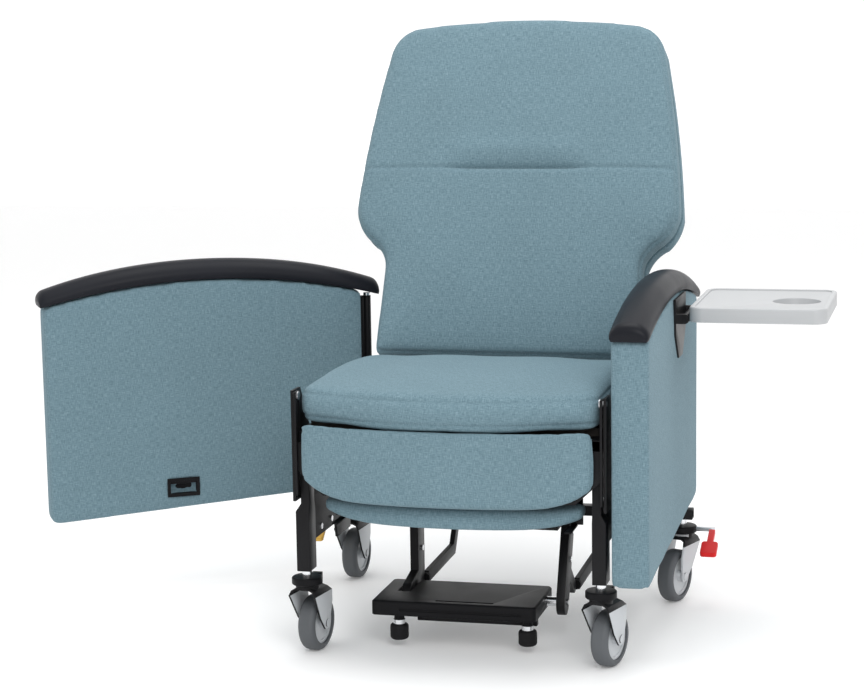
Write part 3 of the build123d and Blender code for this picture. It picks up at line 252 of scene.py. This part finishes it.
def add_bump(nodes, links, shader, height, strength, distance):
    bump = node(nodes, "ShaderNodeBump", Strength=strength, Distance=distance)
    links.new(height, bump.inputs["Height"])
    links.new(bump.outputs["Normal"], shader.inputs["Normal"])


THREAD_PITCH = 0.0011
STREAK_LENGTH = 0.011
STREAK_WIDTH = 0.0010


def linen(name, dark, base, light):
    """Linen-look weave on the UV map named weave, which is in metres along the threads."""
    material, nodes, links, shader = blank_material(name)
    uv = nodes.new("ShaderNodeUVMap")
    uv.uv_map = "weave"
    streaks = []
    for scale in ((1 / STREAK_LENGTH, 1 / STREAK_WIDTH, 1), (1 / STREAK_WIDTH, 1 / STREAK_LENGTH, 1)):
        stretch = nodes.new("ShaderNodeMapping")
        stretch.inputs["Scale"].default_value = scale
        links.new(uv.outputs["UV"], stretch.inputs["Vector"])
        streak = node(nodes, "ShaderNodeTexNoise", Scale=1.0, Detail=2.0, Roughness=0.6)
        links.new(stretch.outputs["Vector"], streak.inputs["Vector"])
        streaks.append(streak.outputs["Fac"])
    total = nodes.new("ShaderNodeMath")
    total.operation = "ADD"
    links.new(streaks[0], total.inputs[0])
    links.new(streaks[1], total.inputs[1])
    half = nodes.new("ShaderNodeMath")
    half.operation = "MULTIPLY"
    half.inputs[1].default_value = 0.5
    links.new(total.outputs[0], half.inputs[0])
    tone = ramp(nodes, [(0.36, dark), (0.5, base), (0.64, light)])
    links.new(half.outputs[0], tone.inputs["Fac"])
    cloud = node(nodes, "ShaderNodeTexNoise", Scale=9.0, Detail=3.0)
    links.new(uv.outputs["UV"], cloud.inputs["Vector"])
    cloud_ramp = ramp(nodes, [(0.3, (0.97, 0.97, 0.97)), (0.7, (1.02, 1.02, 1.02))])
    links.new(cloud.outputs["Fac"], cloud_ramp.inputs["Fac"])
    blend = nodes.new("ShaderNodeMix")
    blend.data_type = "RGBA"
    blend.blend_type = "MULTIPLY"
    blend.inputs["Factor"].default_value = 1
    links.new(tone.outputs["Color"], blend.inputs["A"])
    links.new(cloud_ramp.outputs["Color"], blend.inputs["B"])
    links.new(blend.outputs["Result"], shader.inputs["Base Color"])
    threads = []
    for direction in ("X", "Y"):
        wave = nodes.new("ShaderNodeTexWave")
        wave.bands_direction = direction
        wave.inputs["Scale"].default_value = 1 / (THREAD_PITCH * 20)
        wave.inputs["Distortion"].default_value = 0.4
        links.new(uv.outputs["UV"], wave.inputs["Vector"])
        threads.append(wave.outputs["Fac"])
    weave = nodes.new("ShaderNodeMath")
    weave.operation = "MULTIPLY"
    links.new(threads[0], weave.inputs[0])
    links.new(threads[1], weave.inputs[1])
    height = nodes.new("ShaderNodeMath")
    height.operation = "ADD"
    links.new(weave.outputs[0], height.inputs[0])
    links.new(half.outputs[0], height.inputs[1])
    add_bump(nodes, links, shader, height.outputs[0], 0.55, 0.0004)
    shader.inputs["Roughness"].default_value = 0.92
    shader.inputs["Specular IOR Level"].default_value = 0.18
    shader.inputs["Sheen Weight"].default_value = 0.10
    shader.inputs["Sheen Roughness"].default_value = 0.5
    shader.inputs["Sheen Tint"].default_value = (0.75, 0.88, 0.95, 1)
    return material


def moulded(name, color, rough, grain_scale, grain, spread=0.12, metallic=0.0, gloss=0.5):
    """Plastic, rubber or painted metal: fine grain in colour, roughness and bump."""
    material, nodes, links, shader = blank_material(name)
    coords = nodes.new("ShaderNodeTexCoord")
    grain_noise = node(nodes, "ShaderNodeTexNoise", Scale=grain_scale, Detail=3.0, Roughness=0.6)
    links.new(coords.outputs["Object"], grain_noise.inputs["Vector"])
    wide_noise = node(nodes, "ShaderNodeTexNoise", Scale=6.0, Detail=4.0)
    links.new(coords.outputs["Object"], wide_noise.inputs["Vector"])
    dark = tuple(c * (1 - spread) for c in color)
    light = tuple(c * (1 + spread) for c in color)
    tone = ramp(nodes, [(0.3, dark), (0.7, light)])
    links.new(wide_noise.outputs["Fac"], tone.inputs["Fac"])
    links.new(tone.outputs["Color"], shader.inputs["Base Color"])
    rough_ramp = ramp(nodes, [(0.3, (rough - 0.06,) * 3), (0.7, (rough + 0.06,) * 3)])
    links.new(wide_noise.outputs["Fac"], rough_ramp.inputs["Fac"])
    links.new(rough_ramp.outputs["Color"], shader.inputs["Roughness"])
    shader.inputs["Metallic"].default_value = metallic
    shader.inputs["Specular IOR Level"].default_value = gloss
    add_bump(nodes, links, shader, grain_noise.outputs["Fac"], grain, 0.0006)
    return material


FABRIC_DARK = (0.092, 0.155, 0.187)
FABRIC_BASE = (0.137, 0.217, 0.255)
FABRIC_LIGHT = (0.196, 0.288, 0.330)
materials = {
    "upholstery": linen("linen", FABRIC_DARK, FABRIC_BASE, FABRIC_LIGHT),
    "cap_plastic": moulded("cap_plastic", (0.011, 0.012, 0.016), 0.42, 900, 0.12, gloss=0.12),
    "black_plastic": moulded("black_plastic", (0.007, 0.007, 0.008), 0.42, 700, 0.12, gloss=0.1),
    "frame_black": moulded("frame_black", (0.009, 0.009, 0.010), 0.38, 500, 0.12, gloss=0.15),
    "chrome": moulded("chrome", (0.72, 0.73, 0.75), 0.16, 300, 0.04, 0.05, 1.0),
    "zinc": moulded("zinc", (0.50, 0.51, 0.53), 0.34, 400, 0.15, 0.1, 1.0),
    "table_grey": moulded("table_grey", (0.42, 0.43, 0.44), 0.38, 800, 0.1, 0.03),
    "tyre_grey": moulded("tyre_grey", (0.085, 0.092, 0.10), 0.62, 400, 0.2),
    "hub_grey": moulded("hub_grey", (0.50, 0.52, 0.54), 0.42, 600, 0.1, 0.05),
    "rubber_black": moulded("rubber_black", (0.010, 0.010, 0.011), 0.6, 500, 0.3, gloss=0.12),
    "board": moulded("board", (0.045, 0.038, 0.032), 0.7, 200, 0.3),
    "pedal_red": moulded("pedal_red", (0.64, 0.012, 0.012), 0.32, 500, 0.1, 0.05, gloss=0.25),
    "pedal_yellow": moulded("pedal_yellow", (0.74, 0.44, 0.085), 0.34, 500, 0.1, 0.05, gloss=0.25),
}


def finish_cad_nodes():
    """Every CAD node takes the material of its slot in the record."""
    slot_of = {s["node"]: s["material_slot"] for s in frame["record"]["subparts"]}
    for name, obj in frame["nodes"].items():
        for material_slot in obj.material_slots:
            material_slot.material = materials[slot_of[name]]


def weave_map(obj, turn=0.0):
    """Lay the threads on each face from the side that it faces; turn is the piece's angle about Z."""
    mesh = obj.data
    layer = mesh.uv_layers.get("weave") or mesh.uv_layers.new(name="weave")
    count = len(mesh.polygons)
    normals = np.empty(count * 3)
    mesh.polygons.foreach_get("normal", normals)
    normals = normals.reshape(-1, 3)
    c, s = math.cos(-turn), math.sin(-turn)
    spin = np.array(((c, -s, 0), (s, c, 0), (0, 0, 1)))
    normals = np.abs(normals @ spin.T)
    co = points_of(obj) @ spin.T
    totals = np.empty(count, int)
    mesh.polygons.foreach_get("loop_total", totals)
    owners = np.repeat(np.argmax(normals, axis=1), totals)
    corner = np.empty(len(mesh.loops), int)
    mesh.loops.foreach_get("vertex_index", corner)
    at = co[corner]
    across = np.where(owners == 0, at[:, 1], at[:, 0])
    along = np.where(owners == 2, at[:, 1], at[:, 2])
    layer.data.foreach_set("uv", np.stack((across, along), axis=1).ravel())


# Upholstery: each cushion starts from its CAD solid, is remeshed and blown up a little as cloth

def soft_copy(source, name, voxel):
    mesh = frame["nodes"][source].data.copy()
    obj = bpy.data.objects.new(name, mesh)
    bpy.context.scene.collection.objects.link(obj)
    mod = obj.modifiers.new("remesh", "REMESH")
    mod.mode = "VOXEL"
    mod.voxel_size = voxel
    apply_modifiers(obj)
    return obj


PLUMPNESS = 0.4
CLOTH_FRAMES = 20
CLOTH_SHARE = 0.1


def inflate(obj, shrink, pressure, cap):
    """Fill the skin out, and let it crease by a share of what it does as blown up cloth."""
    start = points_of(obj) - normals_of(obj) * shrink
    set_points(obj, start)
    plump = start + normals_of(obj) * cap * PLUMPNESS
    mod = obj.modifiers.new("cloth", "CLOTH")
    cloth = mod.settings
    cloth.quality = 5
    cloth.mass = 0.3
    cloth.tension_stiffness = 18
    cloth.compression_stiffness = 18
    cloth.shear_stiffness = 8
    cloth.bending_stiffness = 3
    cloth.air_damping = 4
    cloth.use_pressure = True
    cloth.uniform_pressure_force = pressure
    cloth.effector_weights.gravity = 0
    mod.collision_settings.use_collision = False
    scene = bpy.context.scene
    for step in range(1, CLOTH_FRAMES + 1):
        scene.frame_set(step)
    view = bpy.context.evaluated_depsgraph_get()
    done = obj.evaluated_get(view)
    co = np.empty(len(done.data.vertices) * 3)
    done.data.vertices.foreach_get("co", co)
    move = (co.reshape(-1, 3) - plump) * CLOTH_SHARE
    obj.modifiers.clear()
    scene.frame_set(1)
    length = np.linalg.norm(move, axis=1, keepdims=True)
    move *= np.minimum(1, cap / np.maximum(length, 1e-9))
    set_points(obj, plump + move)


def press(obj, depth_at):
    """Sink the surface along its normals by what depth_at(points, normals) gives."""
    co, normals = points_of(obj), normals_of(obj)
    set_points(obj, co - normals * depth_at(co, normals)[:, None])


def bell(distance, width):
    return np.exp(-(distance / width) ** 2)


EDGE_FILL = 0.0055
EDGE_REACH = 0.018


def fill_edge(obj, level, upward):
    """Fill out the front edge at that height, so that two cushions meet in a thin crease."""

    def growth(co, normals):
        facing = np.clip(-normals[:, 1] * 1.6, 0, 1) * np.clip(normals[:, 2] * upward * 1.6, 0, 1)
        return -EDGE_FILL * bell(co[:, 2] - level, EDGE_REACH) * facing

    press(obj, growth)


def keep_behind(obj, axis_point, direction, gap):
    """Flatten the piece where it would pass a plane."""
    co = points_of(obj)
    n = np.array(direction, float)
    over = (co - np.array(axis_point)) @ n + gap
    co -= np.maximum(over, 0)[:, None] * n
    set_points(obj, co)


def upholster(obj, body, fill, *nodes_replaced, turn=0.0):
    weave_map(obj, turn)
    obj.data.materials.clear()
    obj.data.materials.append(materials["upholstery"])
    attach(obj, body)
    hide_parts(*nodes_replaced)


SEAM_WIDTH = 0.0035
SEAM_DEPTH = 0.0026
SEAT_SEAM_LOW = 0.444
SEAT_SEAM_HIGH = 0.484
PAD_END_SEAM = 0.262


def make_seat():
    seat = soft_copy("seat_cushion", "seat_cushion_cover", 0.0065)
    relax(seat, 6)
    inflate(seat, 0.004, 3.0, 0.009)
    relax(seat, 3)
    subdivide(seat)

    def seams(co, normals):
        upright = 1 - np.clip(np.abs(normals[:, 2]) * 1.1, 0, 1) ** 3
        lines = bell(co[:, 2] - SEAT_SEAM_HIGH, SEAM_WIDTH) + bell(co[:, 2] - SEAT_SEAM_LOW, SEAM_WIDTH)
        return SEAM_DEPTH * lines * upright

    press(seat, seams)
    fill_edge(seat, points_of(seat)[:, 2].min(), -1)
    keep_behind(seat, (0, 0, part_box("seat_deck")[1].z), (0, 0, -1), 0.0003)
    upholster(seat, "chassis", 0.85, "seat_cushion")


PAD_RAISE = 0.011
PAD_RAISE_REACH = 0.05


def raise_top(obj):
    """Let the foam swell upward, so that the pad closes the gap below the seat cushion."""
    co = points_of(obj)
    below_top = co[:, 2].max() - co[:, 2]
    co[:, 2] += PAD_RAISE * np.clip(1 - below_top / PAD_RAISE_REACH, 0, 1)
    set_points(obj, co)


def make_leg_pad():
    pad = soft_copy("leg_rest_pad", "leg_rest_cover", 0.0055)
    relax(pad, 5)
    inflate(pad, 0.003, 3.0, 0.006)
    relax(pad, 2)
    subdivide(pad)

    def seams(co, normals):
        return SEAM_DEPTH * bell(np.abs(co[:, 0] - mid_x) - PAD_END_SEAM, SEAM_WIDTH)

    press(pad, seams)
    fill_edge(pad, points_of(pad)[:, 2].max(), 1)
    raise_top(pad)
    upholster(pad, "leg_rest", 0.85, "leg_rest_pad")
    apron = soft_copy("leg_rest_apron", "leg_rest_apron_cover", 0.005)
    relax(apron, 4)
    inflate(apron, 0.002, 2.0, 0.004)
    subdivide(apron)
    upholster(apron, "leg_rest", 0.8, "leg_rest_apron")


BACK_LEAN = 20.8
BACK_FOOT = (0.500, 0.490)
HEADREST_SEAM = 0.376
TUCK_HALF = 0.128
TUCK_DEPTH = 0.012
TUCK_FADE_UP = 0.010
TUCK_FADE_DOWN = 0.003
TUCK_BULGE = 0.003
TUCK_BULGE_UP = 0.040
TUCK_END_FADE = 0.012
BOXING_DEPTH = 0.010


def back_axes():
    """Origin, depth and upward directions of the backrest at rest."""
    lean = math.radians(BACK_LEAN)
    origin = chair(0, *BACK_FOOT)
    depth = Vector((0, math.cos(lean), -math.sin(lean)))
    upward = Vector((0, math.sin(lean), math.cos(lean)))
    return origin, depth, upward


def make_back():
    back = soft_copy("back_cushion", "back_cushion_cover", 0.0075)
    origin, depth_axis, up_axis = back_axes()
    origin, depth_axis, up_axis = (np.array(v) for v in (origin, depth_axis, up_axis))
    relax(back, 8)
    inflate(back, 0.004, 3.0, 0.010)
    relax(back, 3)
    subdivide(back)

    def seams(co, normals):
        rel = co - origin
        x, depth, height = rel[:, 0], rel @ depth_axis, rel @ up_axis
        facing = np.clip(-(normals @ depth_axis), 0, 1)
        seam = SEAM_DEPTH * bell(height - HEADREST_SEAM, SEAM_WIDTH) * facing
        ends = 1 / (1 + np.exp((np.abs(x) - TUCK_HALF) / TUCK_END_FADE))
        above = np.maximum(height - HEADREST_SEAM, 0)
        below = np.maximum(HEADREST_SEAM - height, 0)
        tuck = TUCK_DEPTH * np.exp(-above / TUCK_FADE_UP - below / TUCK_FADE_DOWN) * ends * facing
        bulge = TUCK_BULGE * bell(height - HEADREST_SEAM - TUCK_BULGE_UP, TUCK_BULGE_UP / 2) * ends * facing
        boxing = SEAM_DEPTH * bell(depth - BOXING_DEPTH, SEAM_WIDTH)
        return seam + tuck - bulge + boxing

    press(back, seams)
    upholster(back, "backrest", 0.9, "back_cushion")
    make_back_cover()


def make_back_cover():
    """The casing behind the back cushion, covered in the same fabric."""
    cover = eased("back_shell", 0.003)
    weave_map(cover)
    cover.data.materials.clear()
    cover.data.materials.append(materials["upholstery"])


def arm_frame(side):
    """Matrix from the closed right arm's frame to where that side's arm stands at rest."""
    if side == "right":
        return Matrix.Identity(4)
    hinge = Vector(joint["left_arm_swing"]["pos_m"])
    turn = math.radians(-joint["left_arm_swing"]["range_deg"][1])
    flip = Matrix.Translation((2 * mid_x, 0, 0)) @ Matrix.Scale(-1, 4, (1, 0, 0))
    swing = Matrix.Translation(hinge) @ Matrix.Rotation(turn, 4, "Z") @ Matrix.Translation(-hinge)
    return swing @ flip


EDGE_SEAM = 0.009


def make_arm(side):
    panel = soft_copy(side + "_arm_panel", side + "_arm_cover", 0.007)
    relax(panel, 3)
    inflate(panel, 0.002, 1.5, 0.0035)
    relax(panel, 2)
    subdivide(panel)
    home = np.array(arm_frame(side).inverted())

    def seams(co, normals):
        local = co @ home[:3, :3].T + home[:3, 3]
        facing = np.abs(normals @ home[:3, :3].T)
        narrow = np.clip(facing[:, 1] + facing[:, 2] - 0.2, 0, 1)
        inner = bell(local[:, 0] - arm_low.x - EDGE_SEAM, SEAM_WIDTH)
        outer = bell(local[:, 0] - arm_high.x + EDGE_SEAM, SEAM_WIDTH)
        return SEAM_DEPTH * 0.7 * (inner + outer) * narrow

    press(panel, seams)
    turn = math.radians(-joint["left_arm_swing"]["range_deg"][1]) if side == "left" else 0.0
    upholster(panel, side + "_arm", 1.0, side + "_arm_panel", turn=turn)


# Arm caps: a crowned section swept along the arm's arched top, with blunt rounded ends

CAP_WIDTH = 0.071
CAP_HEIGHT = 0.038
CAP_FRONT_OVER = 0.005
CAP_REAR_OVER = 0.036
CAP_NOSE = 0.016
ARM_RISE = 0.040
CAP_STEPS = 72
CAP_ACROSS = 28


def cap_path(share):
    """Place and slope on the arm's top arc, in the closed right arm's frame."""
    chord = (arm_high.y - arm_low.y) / 2
    radius = (chord ** 2 + ARM_RISE ** 2) / (2 * ARM_RISE)
    first, last = -chord - CAP_FRONT_OVER, chord + CAP_REAR_OVER
    y = first + (last - first) * share
    angle = math.asin(y / radius)
    z = arm_high.z - radius * (1 - math.cos(angle))
    return Vector((0, arm_low.y + chord + y, z)), angle


def make_cap(side):
    middle = (arm_low.x + arm_high.x) / 2
    length = arm_high.y - arm_low.y + CAP_FRONT_OVER + CAP_REAR_OVER
    place = arm_frame(side)
    verts, faces = [], []
    for i in range(CAP_STEPS + 1):
        turn = math.pi * i / CAP_STEPS
        share = (1 - math.cos(turn)) / 2
        point, angle = cap_path(share)
        from_end = min(share, 1 - share) * length
        nose = math.sqrt(max(0.0, 1 - (1 - min(1.0, from_end / CAP_NOSE)) ** 2))
        body = 1 - 0.26 * abs(2 * share - 1) ** 3
        high = CAP_HEIGHT * body * (0.42 + 0.58 * nose)
        half = CAP_WIDTH / 2 * (0.86 + 0.14 * nose)
        up = Vector((0, math.sin(angle), math.cos(angle)))
        for k in range(CAP_ACROSS + 1):
            x = -math.cos(math.pi * k / CAP_ACROSS)
            crown = (1 - abs(x) ** 2.3) ** 0.62
            rise = high * (0.26 + 0.74 * crown)
            if k in (0, CAP_ACROSS):
                rise = high * 0.16
            verts.append(point + Vector((middle + half * x, 0, 0)) + up * (rise + 0.0002))
        for x in (0.96, -0.96):
            verts.append(point + Vector((middle + half * x, 0, 0)) + up * 0.0002)
    around = CAP_ACROSS + 3
    for i in range(CAP_STEPS):
        for k in range(around):
            a, b = i * around + k, i * around + (k + 1) % around
            faces.append((a, b, b + around, a + around))
    faces.append(tuple(range(around))[::-1])
    faces.append(tuple(CAP_STEPS * around + k for k in range(around)))
    cap = mesh_object(side + "_arm_rest_cap", [place @ v for v in verts], faces)
    settle_normals(cap)
    mod = cap.modifiers.new("ease", "BEVEL")
    mod.width = 0.0018
    mod.segments = 2
    mod.limit_method = "ANGLE"
    mod.angle_limit = math.radians(40)
    apply_modifiers(cap)
    cap.data.materials.append(materials["cap_plastic"])
    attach(cap, side + "_arm")
    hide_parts(side + "_arm_cap")


def settle_normals(obj):
    """Turn every face outward."""
    work = bmesh.new()
    work.from_mesh(obj.data)
    bmesh.ops.recalc_face_normals(work, faces=work.faces)
    work.to_mesh(obj.data)
    work.free()


SHARP_ANGLE = 32


EASE_SEGMENTS = 2
WELD_DISTANCE = 0.00002


def eased(name, width):
    """A copy of a CAD node with its sharp edges rounded, as moulded or painted edges are."""
    source = frame["nodes"][name]
    obj = bpy.data.objects.new(name + "_eased", source.data.copy())
    bpy.context.scene.collection.objects.link(obj)
    work = bmesh.new()
    work.from_mesh(obj.data)
    bmesh.ops.remove_doubles(work, verts=work.verts, dist=WELD_DISTANCE)
    bmesh.ops.dissolve_limit(
        work, angle_limit=math.radians(1.0), verts=work.verts, edges=work.edges, delimit={"MATERIAL"})
    work.to_mesh(obj.data)
    work.free()
    mod = obj.modifiers.new("ease", "BEVEL")
    mod.width = width
    mod.segments = EASE_SEGMENTS
    mod.limit_method = "ANGLE"
    mod.angle_limit = math.radians(SHARP_ANGLE)
    mod.use_clamp_overlap = True
    apply_modifiers(obj)
    obj.data.set_sharp_from_angle(angle=math.radians(SHARP_ANGLE))
    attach(obj, source["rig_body"])
    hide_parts(name)
    return obj


EASED_EDGES = {
    "front_legs": 0.002, "seat_frame_tubes": 0.0015, "side_gussets": 0.0008, "rear_frame_tubes": 0.0015,
    "side_plates": 0.0008, "caster_heads": 0.001, "side_table_tray": 0.0012, "side_table_leaf": 0.0006,
    "footplate": 0.0015, "footplate_bar": 0.001, "footplate_levers": 0.0012, "leg_rest_deck": 0.001,
    "leg_rest_carrier": 0.0006, "pedal_pad_left": 0.0012, "pedal_pad_right": 0.0012,
    "pedal_arm_left": 0.0008, "pedal_arm_right": 0.0008, "table_bracket": 0.0008, "stop_bars": 0.0008,
    "left_arm_hinge": 0.0005, "right_arm_hinge": 0.0005, "left_arm_latch_cup": 0.0008,
    "right_arm_latch_cup": 0.0008, "leg_rest_clips": 0.0005,
}


def ease_hard_parts():
    corners = ("front_left", "front_right", "rear_left", "rear_right")
    widths = dict(EASED_EDGES)
    widths.update({"caster_fork_" + corner: 0.0012 for corner in corners})
    widths.update({"caster_hub_" + corner: 0.0008 for corner in corners})
    for name, width in widths.items():
        eased(name, width)
    for corner in corners:
        # Each grey fork gets a painted reflection: its front and top faces are painted black.
        paint_fork_front_reflection(corner)


# Reach from the stem within which the grey fork is painted black as a painted reflection.
FORK_REFLECTION_REACH = 0.010


def paint_fork_front_reflection(corner):
    """Paint the grey fork's front arch and top faces black as a painted reflection of dark surroundings;
    its side plates behind it stay grey.
    """
    fork = bpy.data.objects["caster_fork_" + corner + "_eased"]
    stem = Vector(joint["swivel_" + corner]["pos_m"])
    low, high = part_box("caster_tyre_" + corner)
    trailing = ((low + high) / 2 - stem) * Vector((1, 1, 0))
    trailing.normalize()
    # Painted reflection: faces near the stem, faces turned forward and faces turned up take black paint for
    # the dark reflection on the grey fork.
    fork.data.materials.append(materials["frame_black"])
    for face in fork.data.polygons:
        place = fork.matrix_world @ face.center - stem
        along = place.dot(trailing)
        if along < FORK_REFLECTION_REACH or face.normal.dot(trailing) < -0.4 or face.normal.z > 0.7:
            face.material_index = len(fork.data.materials) - 1


make_camera()
make_stage()
finish_cad_nodes()
make_seat()
make_leg_pad()
make_back()
for arm_side in ("left", "right"):
    make_arm(arm_side)
    make_cap(arm_side)
ease_hard_parts()
